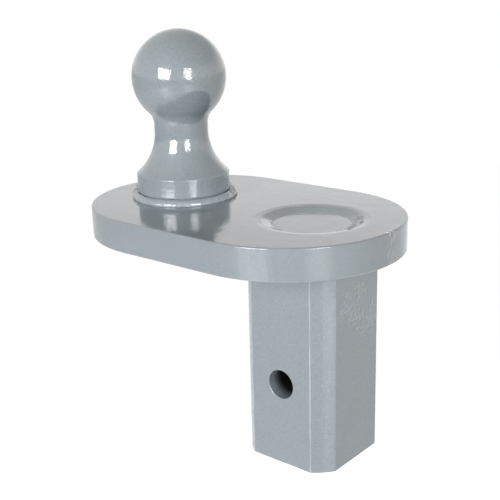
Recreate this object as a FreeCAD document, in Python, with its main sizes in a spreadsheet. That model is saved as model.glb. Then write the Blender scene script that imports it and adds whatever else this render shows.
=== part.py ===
import FreeCAD, Part
import math
import os
from enum import IntEnum

import Sketcher

# Gooseneck ball extender: a towing ball and a square shank welded side by side into one thick plate.
# Millimetres, +Z up. The origin is on the shank's axis at the plate's underside, which comes down on the
# mouth of the socket. The ball stands towards -X, the rear of the truck, and the pin hole runs along Y.

SIZES = [
    # Plate
    ("ball_offset", "101.6", "shank axis to ball axis, 4 in"),
    ("plate_width", "139.7", "5-1/2 in, also twice the radius of its round ends"),
    ("plate_thickness", "19.05", "3/4 in"),
    ("ball_end_margin", "53.9", "ball axis to the plate's end"),
    ("shank_end_margin", "52.8", "shank axis to the plate's end"),
    ("plate_edge_radius", "1.0", "broken edge round the plate"),
    ("recess_rim_width", "3.6", "shallow bevel ground round the shank's bore on top, across"),
    ("recess_rim_drop", "0.3", "the same bevel, downwards"),
    ("bore_rim_radius", "0.5", "rounded rim of the ball's bore on the underside"),
    # Ball
    ("ball_diameter", "58.74", "2-5/16 in"),
    ("neck_diameter", "33.9", "narrowest part of the stem"),
    ("neck_length", "5.2", "straight run between the flare and the fillet under the ball"),
    ("neck_fillet_radius", "9.8", "fillet from the neck into the ball"),
    ("flare_radius", "33.3", "hollow sweep from the neck out to the collar"),
    ("collar_diameter", "58.9", "cylindrical foot of the stem"),
    ("collar_height", "15.9", "plate top to the crease under the flare"),
    ("collar_edge_radius", "0.8", "broken edges of the collar"),
    ("collar_bevel_width", "2.5", "weld bevel at the collar's foot, inwards"),
    ("collar_bevel_height", "5.0", "weld bevel at the collar's foot, upwards"),
    ("ball_spigot_diameter", "38.1", "1-1/2 in"),
    # Shank
    ("shank_width", "63.5", "2-1/2 in across the flats"),
    ("shank_corner_cut", "6.8", "turned off each corner, which leaves 3 in across the corners"),
    ("shank_length", "125.3", "plate underside to the lower end"),
    ("shank_edge_radius", "0.8", "broken edges of the bar"),
    ("shank_spigot_diameter", "60.3", "2-3/8 in"),
    ("pin_hole_diameter", "17.46", "11/16 in"),
    ("pin_hole_drop", "74.3", "plate underside to the pin hole's axis"),
    ("pin_hole_edge_radius", "0.6", "broken edge of the pin hole"),
    # Welds
    ("spigot_clearance", "0.1", "between a spigot and its bore, all round"),
    ("spigot_weld_depth", "3.0", "a spigot's end below the plate's face"),
    ("spigot_weld_width", "7.2", "reach of the weld from the bore in over the spigot's end"),
    ("collar_weld_reach", "3.2", "toe of the bead beyond the collar"),
    ("collar_weld_height", "4.2", "crest of the bead above the plate"),
    ("collar_weld_crown", "3.6", "radius of the bead's rounded face"),
]


class Spot(IntEnum):
    """Which point of a line, arc or circle a constraint holds."""
    START = 1
    END = 2
    CENTRE = 3


class Axis(IntEnum):
    """A sketch's own axes, which constraints hold by these numbers."""
    ACROSS = -1
    UPRIGHT = -2


START, END, CENTRE = Spot
H_AXIS, V_AXIS = Axis
ORIGIN = (H_AXIS, START)
TOLERANCE = 1e-4

doc = FreeCAD.newDocument("gooseneck_ball_extender")
sheet = doc.addObject("Spreadsheet::Sheet", "Sizes")
for row, (alias, value, meaning) in enumerate(SIZES, start=1):
    sheet.set(f"A{row}", alias)
    sheet.set(f"B{row}", value)
    sheet.setAlias(f"B{row}", alias)
    sheet.set(f"C{row}", meaning)
doc.recompute()

# Radii and heights that more than one piece follows
SHANK_BORE = "Sizes.shank_spigot_diameter / 2 + Sizes.spigot_clearance"
BALL_BORE = "Sizes.ball_spigot_diameter / 2 + Sizes.spigot_clearance"
SPIGOT_LENGTH = "Sizes.plate_thickness - Sizes.spigot_weld_depth"
COLLAR_RADIUS = "Sizes.collar_diameter / 2"
COLLAR_FOOT = "Sizes.collar_diameter / 2 - Sizes.collar_bevel_width"


def worth(expression):
    """Present value of an expression on the sheet, in millimetres."""
    return float(sheet.evalExpression(expression))


# Bodies, sketches and features

def new_body(label):
    body = doc.addObject("PartDesign::Body", label)
    body.Label = label
    return body


def new_sketch(body, name, role):
    """An empty sketch on one of the body's own origin planes."""
    sketch = body.newObject("Sketcher::SketchObject", name)
    plane = next(feature for feature in body.Origin.OriginFeatures if feature.Role == role)
    sketch.AttachmentSupport = (plane, [""])
    sketch.MapMode = "FlatFace"
    return sketch


def line(sketch, start, end):
    segment = Part.LineSegment(FreeCAD.Vector(*start), FreeCAD.Vector(*end))
    return sketch.addGeometry(segment, False)


def arc(sketch, centre, start, end):
    """A circular arc drawn anticlockwise from start to end."""
    radius = math.dist(centre, start)
    first = math.atan2(start[1] - centre[1], start[0] - centre[0])
    last = math.atan2(end[1] - centre[1], end[0] - centre[0])
    circle = Part.Circle(FreeCAD.Vector(*centre), FreeCAD.Vector(0, 0, 1), radius)
    return sketch.addGeometry(Part.ArcOfCircle(circle, first, last), False)


def hold(sketch, kind, *places):
    """A geometric constraint, such as Horizontal or Tangent."""
    sketch.addConstraint(Sketcher.Constraint(kind, *places))


def drive(sketch, expression, kind, *places):
    """A dimension that follows the sheet."""
    index = sketch.addConstraint(Sketcher.Constraint(kind, *places, worth(expression)))
    sketch.setExpression(f"Constraints[{index}]", expression)


def circle(sketch, left_of_origin, diameter):
    """A circle on the sketch's horizontal axis, at the origin or left of it."""
    centre = (-worth(left_of_origin) if left_of_origin else 0.0, 0.0)
    index = sketch.addGeometry(Part.Circle(FreeCAD.Vector(*centre), FreeCAD.Vector(0, 0, 1),
                                           worth(diameter) / 2), False)
    if left_of_origin:
        hold(sketch, "PointOnObject", index, CENTRE, H_AXIS)
        drive(sketch, left_of_origin, "DistanceX", index, CENTRE, *ORIGIN)
    else:
        hold(sketch, "Coincident", index, CENTRE, *ORIGIN)
    drive(sketch, diameter, "Diameter", index)


def add_pad(body, name, sketch, length, downwards=False):
    pad = body.newObject("PartDesign::Pad", name)
    pad.Profile = sketch
    pad.Reversed = downwards
    pad.setExpression("Length", length)
    doc.recompute()
    return pad


def cut_through(body, name, sketch):
    pocket = body.newObject("PartDesign::Pocket", name)
    pocket.Profile = sketch
    pocket.Type = "ThroughAll"
    pocket.SideType = "Symmetric"
    doc.recompute()
    return pocket


def turn(body, name, sketch):
    """A full turn of the sketch about its vertical axis."""
    revolution = body.newObject("PartDesign::Revolution", name)
    revolution.Profile = sketch
    revolution.ReferenceAxis = (sketch, ["V_Axis"])
    revolution.Angle = 360
    doc.recompute()
    return revolution


def round_edges(body, name, feature, chosen, radius):
    """A fillet on every edge of the feature that chosen says yes to."""
    edges = [f"Edge{n}" for n, edge in enumerate(feature.Shape.Edges, start=1) if chosen(edge)]
    fillet = body.newObject("PartDesign::Fillet", name)
    fillet.Base = (feature, edges)
    fillet.setExpression("Radius", radius)
    doc.recompute()
    return fillet


def lies_at(edge, height):
    """True for an edge that lies flat at this height."""
    box = edge.BoundBox
    return abs(box.ZMin - height) < TOLERANCE and abs(box.ZMax - height) < TOLERANCE


def is_ring(edge, radius):
    """True for a circular edge of this radius. The ball's pole is an edge with no length and no curve."""
    if edge.Degenerated:
        return False
    return isinstance(edge.Curve, Part.Circle) and abs(edge.Curve.Radius - radius) < TOLERANCE


# Offset plate: a flame-cut plate with full-round ends, bored through for the two spigots

def make_offset_plate():
    body = new_body("offset_plate")
    half = worth("Sizes.plate_width / 2")
    ball_centre = "Sizes.ball_offset + Sizes.ball_end_margin - Sizes.plate_width / 2"
    straight = "Sizes.ball_offset + Sizes.ball_end_margin + Sizes.shank_end_margin - Sizes.plate_width"
    left = -worth(ball_centre)
    right = left + worth(straight)

    outline = new_sketch(body, "plate_outline", "XY_Plane")
    near_side = line(outline, (left, -half), (right, -half))
    shank_end = arc(outline, (right, 0), (right, -half), (right, half))
    far_side = line(outline, (right, half), (left, half))
    ball_end = arc(outline, (left, 0), (left, half), (left, -half))
    sides = (near_side, shank_end, far_side, ball_end)
    for side, following in zip(sides, sides[1:] + sides[:1]):
        hold(outline, "Tangent", side, END, following, START)
    hold(outline, "PointOnObject", ball_end, CENTRE, H_AXIS)
    hold(outline, "PointOnObject", shank_end, CENTRE, H_AXIS)
    hold(outline, "Equal", ball_end, shank_end)
    drive(outline, "Sizes.plate_width / 2", "Radius", ball_end)
    drive(outline, ball_centre, "DistanceX", ball_end, CENTRE, *ORIGIN)
    drive(outline, straight, "DistanceX", ball_end, CENTRE, shank_end, CENTRE)

    plate = add_pad(body, "plate", outline, "Sizes.plate_thickness")
    top = worth("Sizes.plate_thickness")
    broken = round_edges(body, "broken_edges", plate, lambda edge: lies_at(edge, 0) or lies_at(edge, top),
                         "Sizes.plate_edge_radius")

    bores = new_sketch(body, "bore_circles", "XY_Plane")
    circle(bores, None, f"2 * ({SHANK_BORE})")
    circle(bores, "Sizes.ball_offset", f"2 * ({BALL_BORE})")
    bored = cut_through(body, "bores", bores)

    round_edges(body, "ball_bore_rim", bored,
                lambda edge: is_ring(edge, worth(BALL_BORE)) and lies_at(edge, 0), "Sizes.bore_rim_radius")
    bevel_recess_rim(body)
    return body


def bevel_recess_rim(body):
    """Cuts the shallow bevel. Its section runs on inwards into the open bore."""
    inside = f"{SHANK_BORE} - Sizes.recess_rim_width"
    bore = worth(SHANK_BORE)
    inner = worth(inside)
    outer = bore + worth("Sizes.recess_rim_width")
    top = worth("Sizes.plate_thickness")
    foot = top - worth("Sizes.recess_rim_drop")
    rim = new_sketch(body, "recess_rim_section", "XZ_Plane")
    face = line(rim, (inner, top), (outer, top))
    slope = line(rim, (outer, top), (bore, foot))
    floor = line(rim, (bore, foot), (inner, foot))
    wall = line(rim, (inner, foot), (inner, top))
    sides = (face, slope, floor, wall)
    for side, following in zip(sides, sides[1:] + sides[:1]):
        hold(rim, "Coincident", side, END, following, START)
    hold(rim, "Horizontal", face)
    hold(rim, "Horizontal", floor)
    hold(rim, "Vertical", wall)
    drive(rim, inside, "DistanceX", *ORIGIN, face, START)
    drive(rim, "Sizes.plate_thickness", "DistanceY", *ORIGIN, face, START)
    drive(rim, "2 * Sizes.recess_rim_width", "DistanceX", face, START, face, END)
    drive(rim, "Sizes.recess_rim_width", "DistanceX", floor, END, floor, START)
    drive(rim, "Sizes.recess_rim_drop", "DistanceY", wall, START, wall, END)
    groove = body.newObject("PartDesign::Groove", "recess_rim")
    groove.Profile = rim
    groove.ReferenceAxis = (rim, ["V_Axis"])
    groove.Angle = 360
    doc.recompute()


# Hitch ball: one turned piece, with its height counted from the plate's top

def make_hitch_ball():
    body = new_body("hitch_ball")
    ball = worth("Sizes.ball_diameter / 2")
    neck = worth("Sizes.neck_diameter / 2")
    fillet = worth("Sizes.neck_fillet_radius")
    flare = worth("Sizes.flare_radius")
    collar = worth(COLLAR_RADIUS)
    foot = worth(COLLAR_FOOT)
    spigot = worth("Sizes.ball_spigot_diameter / 2")
    spigot_end = -worth(SPIGOT_LENGTH)
    bevel_top = worth("Sizes.collar_bevel_height")
    crease = worth("Sizes.collar_height")
    flare_top = crease + math.sqrt(flare ** 2 - (flare - collar + neck) ** 2)
    neck_top = flare_top + worth("Sizes.neck_length")
    ball_height = neck_top + math.sqrt((ball + fillet) ** 2 - (neck + fillet) ** 2)
    share = ball / (ball + fillet)
    ball_start = ((neck + fillet) * share, ball_height - (ball_height - neck_top) * share)

    half = new_sketch(body, "half_section", "XZ_Plane")
    end_face = line(half, (0, spigot_end), (spigot, spigot_end))
    spigot_side = line(half, (spigot, spigot_end), (spigot, 0))
    seat = line(half, (spigot, 0), (foot, 0))
    bevel = line(half, (foot, 0), (collar, bevel_top))
    collar_side = line(half, (collar, bevel_top), (collar, crease))
    flare_arc = arc(half, (neck + flare, flare_top), (neck, flare_top), (collar, crease))
    neck_side = line(half, (neck, flare_top), (neck, neck_top))
    fillet_arc = arc(half, (neck + fillet, neck_top), ball_start, (neck, neck_top))
    ball_arc = arc(half, (0, ball_height), ball_start, (0, ball_height + ball))
    axis = line(half, (0, ball_height + ball), (0, spigot_end))

    corners = (end_face, spigot_side, seat, bevel, collar_side)
    for side, following in zip(corners, corners[1:]):
        hold(half, "Coincident", side, END, following, START)
    hold(half, "Coincident", collar_side, END, flare_arc, END)
    hold(half, "Tangent", flare_arc, START, neck_side, START)
    hold(half, "Tangent", neck_side, END, fillet_arc, END)
    hold(half, "Tangent", fillet_arc, START, ball_arc, START)
    hold(half, "Coincident", ball_arc, END, axis, START)
    hold(half, "Coincident", axis, END, end_face, START)
    hold(half, "PointOnObject", axis, START, V_AXIS)
    hold(half, "PointOnObject", axis, END, V_AXIS)
    hold(half, "PointOnObject", ball_arc, CENTRE, V_AXIS)
    hold(half, "PointOnObject", seat, START, H_AXIS)
    for flat in (end_face, seat):
        hold(half, "Horizontal", flat)
    for upright in (spigot_side, collar_side, neck_side):
        hold(half, "Vertical", upright)
    drive(half, SPIGOT_LENGTH, "DistanceY", end_face, END, *ORIGIN)
    drive(half, "Sizes.ball_spigot_diameter / 2", "DistanceX", *ORIGIN, seat, START)
    drive(half, COLLAR_FOOT, "DistanceX", *ORIGIN, bevel, START)
    drive(half, COLLAR_RADIUS, "DistanceX", *ORIGIN, bevel, END)
    drive(half, "Sizes.collar_bevel_height", "DistanceY", bevel, START, bevel, END)
    drive(half, "Sizes.collar_height", "DistanceY", *ORIGIN, collar_side, END)
    drive(half, "Sizes.flare_radius", "Radius", flare_arc)
    drive(half, "Sizes.neck_diameter / 2", "DistanceX", *ORIGIN, neck_side, START)
    drive(half, "Sizes.neck_length", "DistanceY", neck_side, START, neck_side, END)
    drive(half, "Sizes.neck_fillet_radius", "Radius", fillet_arc)
    drive(half, "Sizes.ball_diameter / 2", "Radius", ball_arc)

    turned = turn(body, "turned", half)

    def collar_edge(edge):
        return is_ring(edge, collar) and (lies_at(edge, bevel_top) or lies_at(edge, crease))

    round_edges(body, "collar_edges", turned, collar_edge, "Sizes.collar_edge_radius")
    body.setExpression("Placement.Base.x", "-Sizes.ball_offset")
    body.setExpression("Placement.Base.z", "Sizes.plate_thickness")
    return body


# Square shank: a square bar with its corners turned off, a round spigot on top and a cross hole for the pin

def make_square_shank():
    body = new_body("square_shank")
    corner_radius = "Sizes.shank_width / sqrt(2) - Sizes.shank_corner_cut"
    flat = worth("Sizes.shank_width / 2")
    flat_end = math.sqrt(worth(corner_radius) ** 2 - flat ** 2)

    section = new_sketch(body, "bar_section", "XY_Plane")
    front = line(section, (-flat_end, -flat), (flat_end, -flat))
    right = line(section, (flat, -flat_end), (flat, flat_end))
    back = line(section, (flat_end, flat), (-flat_end, flat))
    left = line(section, (-flat, flat_end), (-flat, -flat_end))
    flats = (front, right, back, left)
    corners = [
        arc(section, (0, 0), (flat_end, -flat), (flat, -flat_end)),
        arc(section, (0, 0), (flat, flat_end), (flat_end, flat)),
        arc(section, (0, 0), (-flat_end, flat), (-flat, flat_end)),
        arc(section, (0, 0), (-flat, -flat_end), (-flat_end, -flat)),
    ]
    for side, corner, following in zip(flats, corners, flats[1:] + flats[:1]):
        hold(section, "Coincident", side, END, corner, START)
        hold(section, "Coincident", corner, END, following, START)
        hold(section, "Coincident", corner, CENTRE, *ORIGIN)
    for corner in corners[1:]:
        hold(section, "Equal", corners[0], corner)
    drive(section, corner_radius, "Radius", corners[0])
    for side in (front, back):
        hold(section, "Horizontal", side)
    for side in (right, left):
        hold(section, "Vertical", side)
    drive(section, "Sizes.shank_width / 2", "DistanceY", front, START, *ORIGIN)
    drive(section, "Sizes.shank_width / 2", "DistanceX", *ORIGIN, right, START)
    drive(section, "Sizes.shank_width / 2", "DistanceY", *ORIGIN, back, START)
    drive(section, "Sizes.shank_width / 2", "DistanceX", left, START, *ORIGIN)

    bar = add_pad(body, "bar", section, "Sizes.shank_length", downwards=True)
    length = worth("Sizes.shank_length")
    upright = round_edges(body, "upright_edges", bar,
                          lambda edge: abs(edge.BoundBox.ZLength - length) < TOLERANCE, "Sizes.shank_edge_radius")
    lower = round_edges(body, "lower_edges", upright, lambda edge: lies_at(edge, -length),
                        "Sizes.shank_edge_radius")

    spigot = new_sketch(body, "spigot_circle", "XY_Plane")
    circle(spigot, None, "Sizes.shank_spigot_diameter")
    add_pad(body, "spigot", spigot, SPIGOT_LENGTH)

    hole = new_sketch(body, "pin_hole_circle", "XZ_Plane")
    drop = worth("Sizes.pin_hole_drop")
    radius = worth("Sizes.pin_hole_diameter / 2")
    ring = hole.addGeometry(Part.Circle(FreeCAD.Vector(0, -drop), FreeCAD.Vector(0, 0, 1), radius), False)
    hold(hole, "PointOnObject", ring, CENTRE, V_AXIS)
    drive(hole, "Sizes.pin_hole_drop", "DistanceY", ring, CENTRE, *ORIGIN)
    drive(hole, "Sizes.pin_hole_diameter", "Diameter", ring)
    drilled = cut_through(body, "pin_hole", hole)
    round_edges(body, "pin_hole_rims", drilled, lambda edge: is_ring(edge, radius), "Sizes.pin_hole_edge_radius")
    return body


# Collar weld: the fillet bead that fills the bevel at the collar's foot and stands out over the plate

def make_collar_weld():
    body = new_body("ball_collar_weld")
    toe_radius = "Sizes.collar_diameter / 2 + Sizes.collar_weld_reach"
    crest_run = "Sizes.collar_weld_height * Sizes.collar_bevel_width / Sizes.collar_bevel_height"
    root = (worth(COLLAR_FOOT), 0.0)
    toe = (worth(toe_radius), 0.0)
    crest = (root[0] + worth(crest_run), worth("Sizes.collar_weld_height"))
    crown = worth("Sizes.collar_weld_crown")
    half_chord = math.dist(toe, crest) / 2
    depth = math.sqrt(crown ** 2 - half_chord ** 2)
    inwards = ((crest[1] - toe[1]) / (2 * half_chord), (toe[0] - crest[0]) / (2 * half_chord))
    centre = ((toe[0] + crest[0]) / 2 - depth * inwards[0], (toe[1] + crest[1]) / 2 - depth * inwards[1])

    half = new_sketch(body, "bead_section", "XZ_Plane")
    base = line(half, root, toe)
    face = arc(half, centre, toe, crest)
    bevel = line(half, crest, root)
    sides = (base, face, bevel)
    for side, following in zip(sides, sides[1:] + sides[:1]):
        hold(half, "Coincident", side, END, following, START)
    hold(half, "PointOnObject", base, START, H_AXIS)
    hold(half, "Horizontal", base)
    drive(half, COLLAR_FOOT, "DistanceX", *ORIGIN, base, START)
    drive(half, toe_radius, "DistanceX", *ORIGIN, base, END)
    drive(half, crest_run, "DistanceX", base, START, bevel, START)
    drive(half, "Sizes.collar_weld_height", "DistanceY", base, START, bevel, START)
    drive(half, "Sizes.collar_weld_crown", "Radius", face)
    turn(body, "bead", half)
    body.setExpression("Placement.Base.x", "-Sizes.ball_offset")
    body.setExpression("Placement.Base.z", "Sizes.plate_thickness")
    return body


# Spigot welds: a ring of weld in the corner between a bore and the end of the spigot in it

def make_spigot_weld(label, bore_radius, rim_drop):
    """A ring with its flat side on the spigot's end, at height 0, and its sloping face upwards."""
    body = new_body(label)
    wall_height = f"Sizes.spigot_weld_depth - {rim_drop}"
    bore = worth(bore_radius)
    inner = bore - worth("Sizes.spigot_weld_width")
    half = new_sketch(body, "ring_section", "XZ_Plane")
    base = line(half, (inner, 0), (bore, 0))
    wall = line(half, (bore, 0), (bore, worth(wall_height)))
    face = line(half, (bore, worth(wall_height)), (inner, 0))
    sides = (base, wall, face)
    for side, following in zip(sides, sides[1:] + sides[:1]):
        hold(half, "Coincident", side, END, following, START)
    hold(half, "PointOnObject", base, START, H_AXIS)
    hold(half, "Horizontal", base)
    hold(half, "Vertical", wall)
    drive(half, bore_radius, "DistanceX", *ORIGIN, base, END)
    drive(half, "Sizes.spigot_weld_width", "DistanceX", base, START, base, END)
    drive(half, wall_height, "DistanceY", wall, START, wall, END)
    turn(body, "ring", half)
    return body


def make_shank_spigot_weld():
    """On the plate's top, in the round recess over the shank."""
    body = make_spigot_weld("shank_spigot_weld", SHANK_BORE, "Sizes.recess_rim_drop")
    body.setExpression("Placement.Base.z", SPIGOT_LENGTH)
    return body


def make_ball_spigot_weld():
    """On the plate's underside, below the ball, with its face down."""
    body = make_spigot_weld("ball_spigot_weld", BALL_BORE, "Sizes.bore_rim_radius")
    body.Placement.Rotation = FreeCAD.Rotation(FreeCAD.Vector(1, 0, 0), 180)
    body.setExpression("Placement.Base.x", "-Sizes.ball_offset")
    body.setExpression("Placement.Base.z", "Sizes.spigot_weld_depth")
    return body


pieces = [
    make_offset_plate(),
    make_hitch_ball(),
    make_square_shank(),
    make_collar_weld(),
    make_shank_spigot_weld(),
    make_ball_spigot_weld(),
]
doc.recompute()

for item in doc.Objects:
    if "Invalid" in item.State or "Error" in item.State:
        raise RuntimeError(f"{item.Label} did not rebuild: {item.State}")
    if item.isDerivedFrom("Sketcher::SketchObject") and not item.FullyConstrained:
        raise RuntimeError(f"{item.Label} is not fully constrained")
for piece in pieces:
    if piece.Shape.isNull() or not piece.Shape.isValid() or len(piece.Shape.Solids) != 1:
        raise RuntimeError(f"{piece.Label} is not one valid solid")

os.makedirs("parts", exist_ok=True)
for piece in pieces:
    piece.Shape.exportStep(f"parts/{piece.Label}.step")
    print(f"{piece.Label}: {piece.Shape.Volume:.0f} cubic mm")
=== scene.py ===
import math

import bmesh
import bpy
from mathutils import Matrix, Vector, noise


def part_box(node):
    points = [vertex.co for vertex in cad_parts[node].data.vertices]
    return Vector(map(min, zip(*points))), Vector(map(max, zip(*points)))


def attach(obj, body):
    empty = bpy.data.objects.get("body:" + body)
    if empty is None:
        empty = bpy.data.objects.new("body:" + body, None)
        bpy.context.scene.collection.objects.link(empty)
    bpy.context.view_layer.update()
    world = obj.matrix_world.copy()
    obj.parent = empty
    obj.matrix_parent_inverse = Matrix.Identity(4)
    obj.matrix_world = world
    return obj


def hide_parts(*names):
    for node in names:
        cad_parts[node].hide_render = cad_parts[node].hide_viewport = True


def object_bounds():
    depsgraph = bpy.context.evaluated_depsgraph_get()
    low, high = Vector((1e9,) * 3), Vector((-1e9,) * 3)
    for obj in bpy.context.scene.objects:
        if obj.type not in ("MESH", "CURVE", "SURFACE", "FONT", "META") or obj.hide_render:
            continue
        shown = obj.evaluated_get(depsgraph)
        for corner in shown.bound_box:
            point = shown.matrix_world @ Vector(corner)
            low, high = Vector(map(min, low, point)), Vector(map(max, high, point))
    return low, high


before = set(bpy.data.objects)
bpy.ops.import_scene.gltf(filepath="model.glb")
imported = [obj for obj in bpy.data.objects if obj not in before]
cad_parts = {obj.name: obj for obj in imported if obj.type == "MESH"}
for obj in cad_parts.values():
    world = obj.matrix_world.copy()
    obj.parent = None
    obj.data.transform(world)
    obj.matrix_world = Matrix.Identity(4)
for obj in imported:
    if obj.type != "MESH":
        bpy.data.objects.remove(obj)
cad_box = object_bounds()


# Offset plate. One thick steel plate, flame-cut with full-round ends and its edges broken by hand.
# The cut started and ended in the middle of the end by the shank and left a ragged mark down the side.
# The plate is bored for the two spigots, and the grey gloss enamel over it was sprayed on after welding.

class Tone:
    """A value or colour on its way through a material's nodes. Sums and products add Math nodes."""

    def __init__(self, tree, socket=None):
        self.tree = tree
        self.socket = socket

    def node(self, kind, settings, sockets, output=0):
        """A new node. Each socket is given a value, or the tone that feeds it."""
        made = self.tree.nodes.new(kind)
        for name, setting in settings.items():
            setattr(made, name, setting)
        for name, value in sockets.items():
            if isinstance(value, Tone):
                self.tree.links.new(value.socket, made.inputs[name])
            else:
                made.inputs[name].default_value = value
        return Tone(self.tree, made.outputs[output] if made.outputs else None)

    def maths(self, operation, first, second=0.0):
        return self.node("ShaderNodeMath", {"operation": operation}, {0: first, 1: second})

    def __add__(self, other):
        return self.maths("ADD", self, other)

    def __radd__(self, other):
        return self.maths("ADD", other, self)

    def __sub__(self, other):
        return self.maths("SUBTRACT", self, other)

    def __rsub__(self, other):
        return self.maths("SUBTRACT", other, self)

    def __mul__(self, other):
        return self.maths("MULTIPLY", self, other)

    def __rmul__(self, other):
        return self.maths("MULTIPLY", other, self)

    def __pow__(self, other):
        return self.maths("POWER", self, other)

    def __abs__(self):
        return self.maths("ABSOLUTE", self)

    def vector(self, operation, first, second=(0.0, 0.0, 0.0), output="Vector"):
        sockets = {0: first, 1: second}
        return self.node("ShaderNodeVectorMath", {"operation": operation}, sockets, output)

    def along(self, place, axis):
        return self.node("ShaderNodeSeparateXYZ", {}, {"Vector": place}, output=axis)

    def grain(self, place, per_metre, detail=2.0, distortion=0.0):
        """Noise from 0 to 1."""
        sockets = {"Vector": place, "Scale": per_metre, "Detail": detail, "Distortion": distortion}
        return self.node("ShaderNodeTexNoise", {}, sockets)

    def swing(self, place, per_metre, detail=2.0, distortion=0.0):
        """The same noise, as much below 0 as above it."""
        return self.grain(place, per_metre, detail, distortion) - 0.5

    def ramp(self, value, low, high, to_low=0.0, to_high=1.0):
        sockets = {"Value": value, "From Min": low, "From Max": high,
                   "To Min": to_low, "To Max": to_high}
        return self.node("ShaderNodeMapRange", {"interpolation_type": "SMOOTHSTEP"}, sockets)

    def blend(self, factor, first, second):
        """A mix of two colours, which this node has at its sockets 6 and 7 and its output 2."""
        sockets = {0: factor, 6: first, 7: second}
        return self.node("ShaderNodeMix", {"data_type": "RGBA"}, sockets, output=2)

    def ray(self, kind):
        return self.node("ShaderNodeLightPath", {}, {}, output="Is " + kind + " Ray")


def emptied(holder):
    """The nodes of a new material or surround, with nothing in them yet."""
    holder.use_nodes = True
    holder.node_tree.nodes.clear()
    return Tone(holder.node_tree)


MM = 0.001
ENAMEL_PALE = (0.311, 0.355, 0.385, 1.0)
ENAMEL_DEEP = (0.235, 0.275, 0.300, 1.0)
# Pale enamel drawn over edges as a painted highlight
ENAMEL_EDGE_HIGHLIGHT = (0.47, 0.51, 0.54, 1.0)
ENAMEL_IOR = 1.8
ENAMEL_ROUGHNESS = 0.012
CLOUD_ROUGHNESS = 0.03
CLOUDS_PER_METRE = 34.0
CLOUD_DETAIL = 3.0
CLOUD_CONTRAST = 0.5
PALE_SHARE = 0.55
FLECKS_PER_METRE = 1000.0
PEEL_PER_METRE = 900.0
SAGS_PER_METRE = 95.0
SAG_MM = 0.15
# Nearly black: steel the spray did not reach, darkened further as painted shade deep in the pin hole
BARE_STEEL_SHADE = (0.008, 0.010, 0.010, 1.0)
BARE_ROUGHNESS = 0.9
BARE_SPECULAR = 0.1


def grey_enamel(name, peel_mm, mottle, relief=None, edge=None, bare_and_shade=None):
    """Sprayed gloss enamel with orange peel, finely mottled.
    relief gives the height in mm of what shows through it.
    edge gives, from 0 to 1, where a painted highlight is drawn pale over an edge.
    bare_and_shade gives, from 0 to 1, where the spray did not reach, and the steel there is painted nearly
    black as shade."""
    paint = bpy.data.materials.new(name)
    tone = emptied(paint)
    place = tone.node("ShaderNodeTexCoord", {}, {}, output="Object")

    cloud = tone.grain(place, CLOUDS_PER_METRE, CLOUD_DETAIL)
    fleck = tone.swing(place, FLECKS_PER_METRE, detail=0.0)
    pale = PALE_SHARE + CLOUD_CONTRAST * (cloud - 0.5) + mottle * fleck
    colour = tone.blend(pale, ENAMEL_DEEP, ENAMEL_PALE)
    # Painted highlight: a pale line over the edges that edge picks out
    if edge:
        colour = tone.blend(edge(tone, place), colour, ENAMEL_EDGE_HIGHLIGHT)

    peel = tone.swing(place, PEEL_PER_METRE, detail=1.0)
    sag = tone.swing(place, SAGS_PER_METRE, detail=1.0)
    height = peel_mm * peel + SAG_MM * sag
    if relief:
        height = height + relief(tone, place)
    bump_sockets = {"Strength": 1.0, "Distance": MM, "Height": height}
    bump = tone.node("ShaderNodeBump", {}, bump_sockets, output="Normal")

    roughness = ENAMEL_ROUGHNESS + CLOUD_ROUGHNESS * cloud
    sockets = {"Base Color": colour, "Roughness": roughness, "IOR": ENAMEL_IOR, "Normal": bump}
    shader = tone.node("ShaderNodeBsdfPrincipled", {}, sockets)
    # Painted shade: near-black steel in place of the enamel, deeper inside the pin hole
    if bare_and_shade:
        steel_sockets = {"Base Color": BARE_STEEL_SHADE, "Roughness": BARE_ROUGHNESS,
                         "Specular IOR Level": BARE_SPECULAR}
        steel = tone.node("ShaderNodeBsdfPrincipled", {}, steel_sockets)
        shader = tone.node("ShaderNodeMixShader", {}, {0: bare_and_shade(tone, place), 1: shader, 2: steel})
    tone.node("ShaderNodeOutputMaterial", {}, {"Surface": shader})
    return paint


def coat(node, paint):
    """Paints a piece that is shown in its CAD shape."""
    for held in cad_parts[node].material_slots:
        held.material = paint


PLATE_EDGE = 0.001
CUT_ASIDE = 0.0012
CUT_WIDTH = 0.0055
CUT_STRAY = 0.006
CUT_STRAYS_PER_METRE = 260.0
CUT_FROM = 0.050
CUT_FULL_FROM = 0.051
CUT_MM = 0.95
CUT_RIDGES_PER_METRE = 620.0
ALONG_THE_CUT = (1.0, 1.0, 0.45)


def lower_edge_highlight(tone, place):
    """A painted highlight along the broken edge round the plate's underside."""
    return tone.ramp(tone.along(place, "Z"), PLATE_EDGE, 0.0)


def cut_mark(tone, place):
    """The mark where the flame cut started and ended, drawn out downwards."""
    aside = abs(tone.along(place, "Y") - CUT_ASIDE)
    ragged = aside + CUT_STRAY * tone.swing(place, CUT_STRAYS_PER_METRE)
    at_the_end = tone.ramp(tone.along(place, "X"), CUT_FROM, CUT_FULL_FROM)
    mark = tone.ramp(ragged, CUT_WIDTH, 0.5 * CUT_WIDTH) * at_the_end
    drawn_out = tone.vector("MULTIPLY", place, ALONG_THE_CUT)
    return CUT_MM * mark * tone.swing(drawn_out, CUT_RIDGES_PER_METRE, detail=0.0)


plate_paint = grey_enamel("enamel_on_plate", peel_mm=0.05, mottle=0.6, relief=cut_mark, edge=lower_edge_highlight)
coat("offset_plate", plate_paint)


# Square shank. A piece of square steel bar with its corners turned off and a cross hole for a locking pin.
# Its turned spigot is welded up into the plate. The bar's rough skin shows through the enamel, strongly in
# one patch on the side and faintly elsewhere.

HALF_BAR = 0.03175

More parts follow.
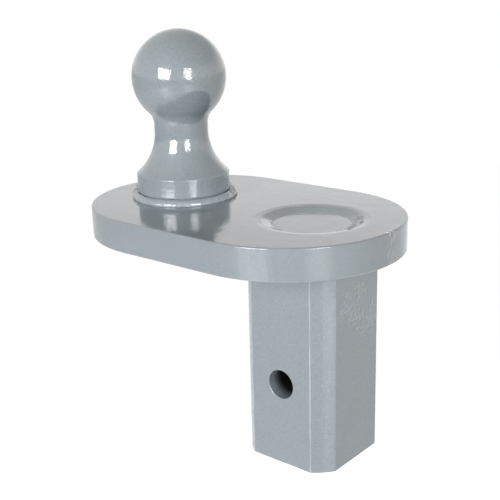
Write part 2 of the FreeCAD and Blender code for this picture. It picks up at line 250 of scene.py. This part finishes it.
# Each mark of the rough patch: its middle across and upright, half its width and half its height
SKIN_MARKS = (
    (0.0037, -0.019, 0.008, 0.0075),
    (-0.0119, -0.0245, 0.008, 0.008),
    (-0.0012, -0.033, 0.008, 0.009),
    (0.010, -0.0415, 0.012, 0.007),
    (0.0167, -0.0313, 0.006, 0.004),
)
SKIN_DEPTH = 0.006
SKIN_BORDER = (1.05, 0.75)
SKIN_STRAY = 1.2
SKIN_STRAYS_PER_METRE = 200.0
WRINKLES_PER_METRE = 500.0
WRINKLE_BEND = 0.5
FRONT_FACE = (-0.018, -0.024)
FRONT_BLOTCHES_PER_METRE = 75.0
FRONT_BLOTCH_BORDER = (0.48, 0.6)
FRONT_SKIN_MM = 0.22
EVEN_SKIN_MM = 0.03
FAR_AWAY = 10.0


def rough_skin(tone, place):
    nearest = FAR_AWAY
    for across, upright, half_width, half_height in SKIN_MARKS:
        away = tone.vector("SUBTRACT", place, (HALF_BAR, across, upright))
        shares = tone.vector("DIVIDE", away, (SKIN_DEPTH, half_width, half_height))
        distance = tone.vector("LENGTH", shares, output="Value")
        nearest = tone.maths("MINIMUM", distance, nearest)
    ragged = nearest + SKIN_STRAY * tone.swing(place, SKIN_STRAYS_PER_METRE, detail=1.0)
    blotches = tone.ramp(tone.grain(place, FRONT_BLOTCHES_PER_METRE), *FRONT_BLOTCH_BORDER)
    front = tone.ramp(tone.along(place, "Y"), *FRONT_FACE) * blotches
    depth = EVEN_SKIN_MM + FRONT_SKIN_MM * front + tone.ramp(ragged, *SKIN_BORDER)
    return depth * tone.swing(place, WRINKLES_PER_METRE, detail=0.0, distortion=WRINKLE_BEND)


TURNED_FROM = 0.02106
TURNED_EDGE = 0.0006
OUTER_FACE = (HALF_BAR - 0.0008, HALF_BAR - 0.0004)
# How the painted edge highlight fades and breaks along its length
HIGHLIGHT_BREAKS_PER_METRE = 55.0
HIGHLIGHT_BREAK_BORDER = (0.4, 0.6)
HIGHLIGHT_LEAST = 0.45


def turned_edge_highlight(tone, place):
    """A painted highlight along the upright edges of the front and back faces, where the turned corners
    start.
    """
    away = abs(abs(tone.along(place, "X")) - TURNED_FROM)
    outer = tone.ramp(abs(tone.along(place, "Y")), *OUTER_FACE)
    highlight_breaks = tone.ramp(tone.grain(place, HIGHLIGHT_BREAKS_PER_METRE), *HIGHLIGHT_BREAK_BORDER, HIGHLIGHT_LEAST, 1.0)
    return outer * highlight_breaks * tone.ramp(away, TURNED_EDGE, 0.2 * TURNED_EDGE)


HOLE_HEIGHT = -0.0743
HOLE_RADIUS = 0.00873
HOLE_WALL = (HOLE_RADIUS + 0.0005, HOLE_RADIUS + 0.0001)
SPRAYED_DEPTH = (0.003, 0.0125)


# Painted shade: darker with depth inside the pin hole, where the spray thinned out
def pin_hole_shade(tone, place):
    across = tone.along(place, "X")
    upright = tone.along(place, "Z") - HOLE_HEIGHT
    radius = (across * across + upright * upright) ** 0.5
    depth = HALF_BAR - abs(tone.along(place, "Y"))
    return tone.ramp(radius, *HOLE_WALL) * tone.ramp(depth, *SPRAYED_DEPTH)


shank_paint = grey_enamel("enamel_on_shank", peel_mm=0.05, mottle=0.9, relief=rough_skin,
                          edge=turned_edge_highlight, bare_and_shade=pin_hole_shade)
coat("square_shank", shank_paint)


# Hitch ball. Ball, necked stem, collar and spigot are turned in one piece from solid steel.
# It stands on the plate on its collar, and the enamel covers it all over, most unevenly low down.

COLLAR_TOP = 0.036
FLARE_TOP = 0.054
COLLAR_PEEL_MM = 0.11
COLLAR_PEEL_PER_METRE = 470.0


def collar_peel(tone, place):
    low_down = tone.ramp(tone.along(place, "Z"), FLARE_TOP, COLLAR_TOP)
    return COLLAR_PEEL_MM * low_down * tone.swing(place, COLLAR_PEEL_PER_METRE, detail=1.0)


coat("hitch_ball", grey_enamel("enamel_on_ball", peel_mm=0.08, mottle=1.0, relief=collar_peel))


# Collar weld. The fillet bead of weld metal laid by hand round the collar's foot, to join it to the plate.
# Fine ripples cross it, with a heavier, knobbly lump where the welder stopped and started.

# Radius and height in mm, from inside the collar's bevel out along the plate, over the crest and back
BEAD_SECTION = (
    (26.95, 0.0), (32.65, 0.0), (32.82, 0.5), (32.8, 1.1), (32.6, 1.75), (32.2, 2.45), (31.65, 3.1),
    (31.0, 3.62), (30.35, 3.98), (29.8, 4.08), (29.4, 3.95), (29.05, 3.65), (28.65, 3.4),
)
BEAD_STEPS = 720
BEAD_CREST_RADIUS = 30.5
BEAD_HELD_RADIUS = 29.2
BEAD_FREE_WIDTH = 1.2
BEAD_TOE_HEIGHT = 4.0
BEAD_FULL_RISE_HEIGHT = 2.0

# Each lump: its angle and half its width in degrees, its reach and lift in mm, and how knobbly it is
BEAD_LUMPS = (
    (34.0, 18.0, 0.7, 0.0, 0.4),
    (70.0, 18.0, 1.1, 1.2, 0.9),
    (207.0, 14.0, 1.0, 0.8, 2.4),
)
LUMP_BODY = 0.2

# How close together the waves lie, and how high they are
SLOW_SWELL = (4.0, 0.35)
QUICK_SWELL = (11.0, 0.2)
RIPPLE_WANDER = (9.0, 3.0)
RIPPLE_CHANGE = (14.0, 1.0)
LARGE_KNOBS = (420.0, 1.0)
SMALL_KNOBS = (900.0, 0.5)

BEAD_RIPPLES = 96
RIPPLE_BOW = 0.4
RIPPLE_STRENGTH = 0.6
RIPPLES_OUT = 0.04
KNOBS_OUT = 0.15
RIPPLES_UP = 0.05
SWELL_UP = 0.2
KNOBS_UP = 0.18


def foot_of(box):
    """The middle of a box's underside."""
    low, high = (Vector(corner) for corner in box)
    return Vector(((low.x + high.x) / 2, (low.y + high.y) / 2, low.z))


def in_order(elements, key):
    """Lists a shape's points or faces by the key, so that each run lists them alike."""
    for index, element in enumerate(sorted(elements, key=key)):
        element.index = index
    elements.sort()


def turned_ring(section, steps):
    """A closed ring: the section's points, radius and height in mm, spun round the Z axis."""
    ring = bmesh.new()
    points = [ring.verts.new((radius * MM, 0.0, height * MM)) for radius, height in section]
    edges = [ring.edges.new(pair) for pair in zip(points, points[1:] + points[:1])]
    bmesh.ops.spin(ring, geom=points + edges, cent=(0, 0, 0), axis=(0, 0, 1), angle=2 * math.pi,
                   steps=steps, use_merge=True)
    bmesh.ops.remove_doubles(ring, verts=ring.verts, dist=0.001 * MM)
    bmesh.ops.recalc_face_normals(ring, faces=ring.faces)
    in_order(ring.verts, lambda point: tuple(point.co))
    in_order(ring.faces, lambda face: sorted(point.index for point in face.verts))
    return ring


def as_object(shape, name):
    """An object at the origin with the shape as its mesh."""
    mesh = bpy.data.meshes.new(name)
    shape.to_mesh(mesh)
    shape.free()
    made = bpy.data.objects.new(name, mesh)
    bpy.context.collection.objects.link(made)
    return made


def settle(ring, name, spot, paint, node):
    """Makes the ring a smooth-shaded piece at its spot, where it stands for the CAD node."""
    bmesh.ops.translate(ring, verts=ring.verts, vec=spot)
    piece = as_object(ring, name)
    piece.data.shade_smooth()
    piece.data.materials.append(paint)
    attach(piece, "root")
    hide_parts(node)


def within(share):
    return min(1.0, max(0.0, share))


def hump(angle, middle, reach, steepness):
    """1 at the middle angle, and down towards 0 past the reach on both sides of it, in degrees."""
    turn = (angle - middle + 180.0) % 360.0 - 180.0
    return math.exp(-(turn / reach) ** steepness)


def waves(place, closeness, height):
    return noise.noise(place * closeness) * height


bead = turned_ring(BEAD_SECTION, BEAD_STEPS)
for point in bead.verts:
    radius = math.hypot(point.co.x, point.co.y) / MM
    height = point.co.z / MM
    if radius < BEAD_HELD_RADIUS:
        continue
    angle = math.degrees(math.atan2(point.co.y, point.co.x))
    outwards = Vector((point.co.x, point.co.y, 0.0)).normalized()
    swell = waves(outwards, *SLOW_SWELL) + waves(outwards, *QUICK_SWELL)
    wander = waves(outwards, *RIPPLE_WANDER) + RIPPLE_BOW * (radius - BEAD_CREST_RADIUS) ** 2
    ripple = math.cos(math.radians(angle) * BEAD_RIPPLES + wander)
    ripple *= RIPPLE_STRENGTH + waves(outwards, *RIPPLE_CHANGE)
    knobs = waves(point.co, *LARGE_KNOBS) + waves(point.co, *SMALL_KNOBS)
    grow = swell + RIPPLES_OUT * ripple + KNOBS_OUT * knobs
    rise = RIPPLES_UP * ripple + SWELL_UP * swell + KNOBS_UP * knobs
    toe = within(1.0 - height / BEAD_TOE_HEIGHT)
    for middle, width, reach, lift, knobbly in BEAD_LUMPS:
        share = hump(angle, middle, width, 2)
        grow += share * (reach * (LUMP_BODY + toe ** 2) + knobbly * knobs)
        rise += share * (lift + knobbly * knobs)
    free = within((radius - BEAD_HELD_RADIUS) / BEAD_FREE_WIDTH)
    point.co += outwards * grow * free * MM
    point.co.z += rise * within(height / BEAD_FULL_RISE_HEIGHT) * free * MM

ROUGH_SPOTS = ((-0.1314, -0.0152, 0.0215), (-0.0866, 0.0296, 0.0215))
ROUGH_REACH = 0.011
ROUGH_MM = 2.2
ROUGH_PER_METRE = 560.0


def rough_lumps(tone, place):
    nearest = FAR_AWAY
    for spot in ROUGH_SPOTS:
        distance = tone.vector("DISTANCE", place, spot, output="Value")
        nearest = tone.maths("MINIMUM", distance, nearest)
    rough = tone.ramp(nearest, ROUGH_REACH, 0.5 * ROUGH_REACH)
    return rough * ROUGH_MM * tone.swing(place, ROUGH_PER_METRE, detail=1.0)


bead_paint = grey_enamel("enamel_on_collar_weld", peel_mm=0.08, mottle=0.9, relief=rough_lumps)
settle(bead, "collar_weld", foot_of(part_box("ball_collar_weld")), bead_paint, "ball_collar_weld")


# Shank spigot weld. The ring of weld in the round recess over the shank, dressed to a smooth cone.
# On one side it was left as laid, where the run ends in ragged ripples, and on another it is filled higher.

# Radii and heights in mm
RECESS_OUTER = 30.25
RECESS_WIDTH = 7.2
RECESS_INNER = RECESS_OUTER - RECESS_WIDTH
RECESS_HEIGHT = 2.7
RECESS_FACE_STEPS = 16
RECESS_STEPS = 540

# The weld keeps its even shape below this height and beyond this radius
HELD_HEIGHT = 0.05
HELD_RADIUS = 30.2

# Angles in degrees, the rest in mm
RUN_END_MIDDLE = 5.0
RUN_END_REACH = 46.0
RUN_END_MM = 0.8
RUN_END_EDGE = 1.0
RUN_END_OUTER = 30.4
CRUMB_RADIUS = 28.7
CRUMB_WIDTH = 1.5
CRUMB_MM = 3.2
FILL_MIDDLE = 238.0
FILL_REACH = 25.0
FILL_MM = 0.95
FILL_EDGE = 0.9

# How deep the ragged end may cut, as a share of the weld's height there
RUN_END_DIP = 0.8

# How close together the waves lie, and how high they are
LUMP_FURROWS = (240.0, 2.2)
LUMP_GRAIN = (620.0, 0.5)
LUMP_TOP = 0.5
CRUMBS_PER_METRE = 170.0
CRUMB_SHIFT = Vector((0.3, 0.7, 0.1))

recess_section = [(RECESS_INNER, 0.0), (RECESS_OUTER, 0.0), (RECESS_OUTER, RECESS_HEIGHT)]
for step in range(1, RECESS_FACE_STEPS):
    share = step / RECESS_FACE_STEPS
    recess_section.append((RECESS_OUTER - RECESS_WIDTH * share, RECESS_HEIGHT - RECESS_HEIGHT * share))
cone = turned_ring(recess_section, RECESS_STEPS)
for point in cone.verts:
    radius = math.hypot(point.co.x, point.co.y) / MM
    height = point.co.z / MM
    if height < HELD_HEIGHT or radius > HELD_RADIUS:
        continue
    angle = math.degrees(math.atan2(point.co.y, point.co.x))
    fill = hump(angle, FILL_MIDDLE, FILL_REACH, 4) * FILL_MM * (RECESS_OUTER - radius) / RECESS_WIDTH
    fill *= within((radius - RECESS_INNER) / FILL_EDGE)
    lump = LUMP_TOP - abs(waves(point.co, *LUMP_FURROWS)) + waves(point.co, *LUMP_GRAIN)
    lump *= within((radius - RECESS_INNER) / RUN_END_EDGE)
    lump *= within((RUN_END_OUTER - radius) / RUN_END_EDGE)
    crumb = max(0.0, noise.noise(point.co * CRUMBS_PER_METRE + CRUMB_SHIFT))
    crumb *= within(1.0 - abs(radius - CRUMB_RADIUS) / CRUMB_WIDTH)
    ragged = hump(angle, RUN_END_MIDDLE, RUN_END_REACH, 4) * (RUN_END_MM * lump + CRUMB_MM * crumb)
    point.co.z += (fill + max(-RUN_END_DIP * height, ragged)) * MM

recess_paint = grey_enamel("enamel_on_recess_weld", peel_mm=0.05, mottle=0.3)
settle(cone, "recess_weld", foot_of(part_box("shank_spigot_weld")), recess_paint, "shank_spigot_weld")


# Ball spigot weld. The same dressed ring of weld on the underside, where the ball's spigot ends.
# It is smooth all round, under the same enamel.

coat("ball_spigot_weld", grey_enamel("enamel_on_underside_weld", peel_mm=0.05, mottle=0.3))


# Floor. A pale seamless sheet of paper under the shank's foot, white to the camera and in the enamel's gloss.
# It keeps a faint trace of the part's shadow, and it lets a camera below it see the underside.

WHITE = (1.0, 1.0, 1.0, 1.0)
PAPER = (0.85, 0.85, 0.85, 1.0)
FLOOR_RADIUS = 40.0
FLOOR_SIDES = 96
NEAR_GLOW = 0.26
NEAR_GLOW_SEEN = 0.48
NEAR_GLOW_IN_GLOSS = 0.28
SHEEN_SHARE = 0.11
SHEEN_ROUGHNESS = 0.28

# Where each ramp starts and ends, in metres, and its level at both
FAR_SHARE = (0.3, 0.9, 0.6, 1.0)
FAR_GLOSS_ASIDE = (-0.3, 0.3, -0.36, 0.12)

# The direction to the right of the camera
ASIDE = (0.77, 0.64, 0.0)

sheet = bmesh.new()
bmesh.ops.create_circle(sheet, cap_ends=True, segments=FLOOR_SIDES, radius=FLOOR_RADIUS,
                        matrix=Matrix.Translation((0.0, 0.0, cad_box[0][2])))
floor = as_object(sheet, "studio_floor")

floor_paper = bpy.data.materials.new("studio_paper")
tone = emptied(floor_paper)
place = tone.node("ShaderNodeTexCoord", {}, {}, output="Object")
from_part = tone.vector("LENGTH", place, output="Value")
aside = tone.vector("DOT_PRODUCT", place, ASIDE, output="Value")
underneath = tone.node("ShaderNodeNewGeometry", {}, {}, output="Backfacing")
in_gloss = tone.ray("Glossy")
seen = tone.maths("MINIMUM", tone.ray("Camera") + in_gloss + tone.ray("Transmission"), 1.0)
near_level = NEAR_GLOW + NEAR_GLOW_SEEN * seen + NEAR_GLOW_IN_GLOSS * in_gloss
far_level = 1.0 + in_gloss * tone.ramp(aside, *FAR_GLOSS_ASIDE)
paper = tone.node("ShaderNodeBsdfDiffuse", {}, {"Color": PAPER})
near_glow = tone.node("ShaderNodeEmission", {}, {"Color": WHITE, "Strength": near_level})
far_glow = tone.node("ShaderNodeEmission", {}, {"Color": WHITE, "Strength": far_level})
near = tone.node("ShaderNodeAddShader", {}, {0: paper, 1: near_glow})
far_share = seen * tone.ramp(from_part, *FAR_SHARE)
lit = tone.node("ShaderNodeMixShader", {}, {0: far_share, 1: near, 2: far_glow})
sheen = tone.node("ShaderNodeBsdfGlossy", {}, {"Color": WHITE, "Roughness": SHEEN_ROUGHNESS})
satin = tone.node("ShaderNodeMixShader", {}, {0: SHEEN_SHARE * in_gloss, 1: lit, 2: sheen})
clear = tone.node("ShaderNodeBsdfTransparent", {}, {})
through = tone.node("ShaderNodeMixShader", {}, {0: underneath, 1: satin, 2: clear})
tone.node("ShaderNodeOutputMaterial", {}, {"Surface": through})
floor.data.materials.append(floor_paper)


# Studio surround. White to the camera, and only a faint light on the part.
# The enamel's gloss shows it bright, low down most on the right and overhead most on the left.

# Where each ramp starts and ends, as a share of the way up or aside, and its level at both
DOME_LIGHT = (0.25, 0.75, 0.06, 0.03)
GLOSS_LOW_ASIDE = (-0.4, 0.4, 1.28, 1.63)
GLOSS_HIGH_ASIDE = (-0.4, 0.4, 1.30, 1.08)
OVERHEAD = (0.2, 0.45)

studio = bpy.data.worlds.new("studio_surround")
bpy.context.scene.world = studio
tone = emptied(studio)
towards = tone.node("ShaderNodeTexCoord", {}, {}, output="Generated")
upwards = tone.along(towards, "Z")
aside = tone.vector("DOT_PRODUCT", towards, ASIDE, output="Value")
to_camera = tone.ray("Camera")
in_gloss = tone.ray("Glossy")
lit_dome = tone.ramp(upwards, *DOME_LIGHT)
shown_low = tone.ramp(aside, *GLOSS_LOW_ASIDE)
shown_high = tone.ramp(aside, *GLOSS_HIGH_ASIDE)
shown_dome = shown_low + tone.ramp(upwards, *OVERHEAD) * (shown_high - shown_low)
off_camera = in_gloss * shown_dome + (1.0 - in_gloss) * lit_dome
strength = to_camera + (1.0 - to_camera) * off_camera
surround = tone.node("ShaderNodeBackground", {}, {"Color": WHITE, "Strength": strength})
tone.node("ShaderNodeOutputWorld", {}, {"Surface": surround})


# Studio lights. Two nearly square soft boxes stand left and right of the camera, a little above the ball.
# Each is a lamp that lights the part and a bright card that only the enamel's gloss shows.
# A third lamp over the right one and a fourth behind the part have no card.

BALL_MIDDLE = Vector((-0.1016, 0.0, 0.0948))
BOX_DISTANCE = 1.3
NO_CARD = 0.0

# Each box: azimuth and elevation in degrees, width and height in metres, the lamp's watts, the card's level
SOFT_BOXES = (
    ("left", 7.5, 11.8, 0.63, 0.54, 11.0, 13.5),
    ("right", 66.5, 10.3, 0.42, 0.52, 3.0, 11.2),
    ("high", 66.5, 35.0, 0.57, 0.62, 2.0, NO_CARD),
    ("back", 224.0, 0.0, 0.9, 0.4, 10.0, NO_CARD),
)

for side, azimuth, elevation, width, tall, lamp_watts, card_level in SOFT_BOXES:
    turn = math.radians(azimuth)
    climb = math.radians(elevation)
    away = Vector((math.sin(turn) * math.cos(climb), -math.cos(turn) * math.cos(climb), math.sin(climb)))
    spot = Matrix.Translation(BALL_MIDDLE + BOX_DISTANCE * away)
    facing = spot @ away.to_track_quat("Z", "Y").to_matrix().to_4x4()
    lamp = bpy.data.lights.new("soft_box_" + side, "AREA")
    lamp.shape = "RECTANGLE"
    lamp.size = width
    lamp.size_y = tall
    lamp.energy = lamp_watts
    lamp_stand = bpy.data.objects.new("soft_box_" + side, lamp)
    lamp_stand.matrix_world = facing
    lamp_stand.visible_glossy = False
    bpy.context.collection.objects.link(lamp_stand)
    if card_level == NO_CARD:
        continue

    panel = bmesh.new()
    bmesh.ops.create_grid(panel, x_segments=1, y_segments=1, size=0.5)
    bmesh.ops.scale(panel, vec=(width, tall, 1.0), verts=panel.verts)
    bmesh.ops.transform(panel, matrix=facing, verts=panel.verts)
    card = as_object(panel, "card_" + side)
    card.visible_camera = False
    card.visible_diffuse = False
    card.visible_shadow = False
    cloth = bpy.data.materials.new("card_cloth_" + side)
    tone = emptied(cloth)
    glow = tone.node("ShaderNodeEmission", {}, {"Color": WHITE, "Strength": card_level})
    tone.node("ShaderNodeOutputMaterial", {}, {"Surface": glow})
    card.data.materials.append(cloth)


# Camera. It stands at the front right of the part, a little above it, and sees the whole of it.
# Light mirrored from one piece to another is kept sharp, because the glossy plate lights the collar.

CAMERA_SPOT = Vector((0.311763, -0.426489, 0.162030))
CAMERA_RIGHT = Vector((0.76937473, 0.63833658, -0.02426807))
CAMERA_UP = Vector((-0.16901938, 0.24005807, 0.95593126))
CAMERA_BACK = Vector((0.61603164, -0.73136758, 0.29258586))
FOCAL_PIXELS = 942.811
PICTURE_PIXELS = 500
SENSOR_MM = 36.0

lens = bpy.data.cameras.new("photo_view")
lens.sensor_fit = "HORIZONTAL"
lens.sensor_width = SENSOR_MM
lens.lens = SENSOR_MM * FOCAL_PIXELS / PICTURE_PIXELS
camera = bpy.data.objects.new("photo_view", lens)
turn = Matrix((CAMERA_RIGHT, CAMERA_UP, CAMERA_BACK)).transposed()
camera.matrix_world = Matrix.Translation(CAMERA_SPOT) @ turn.to_4x4()
bpy.context.collection.objects.link(camera)
bpy.context.scene.camera = camera
bpy.context.scene.view_settings.view_transform = "Standard"
bpy.context.scene.cycles.blur_glossy = 0.0
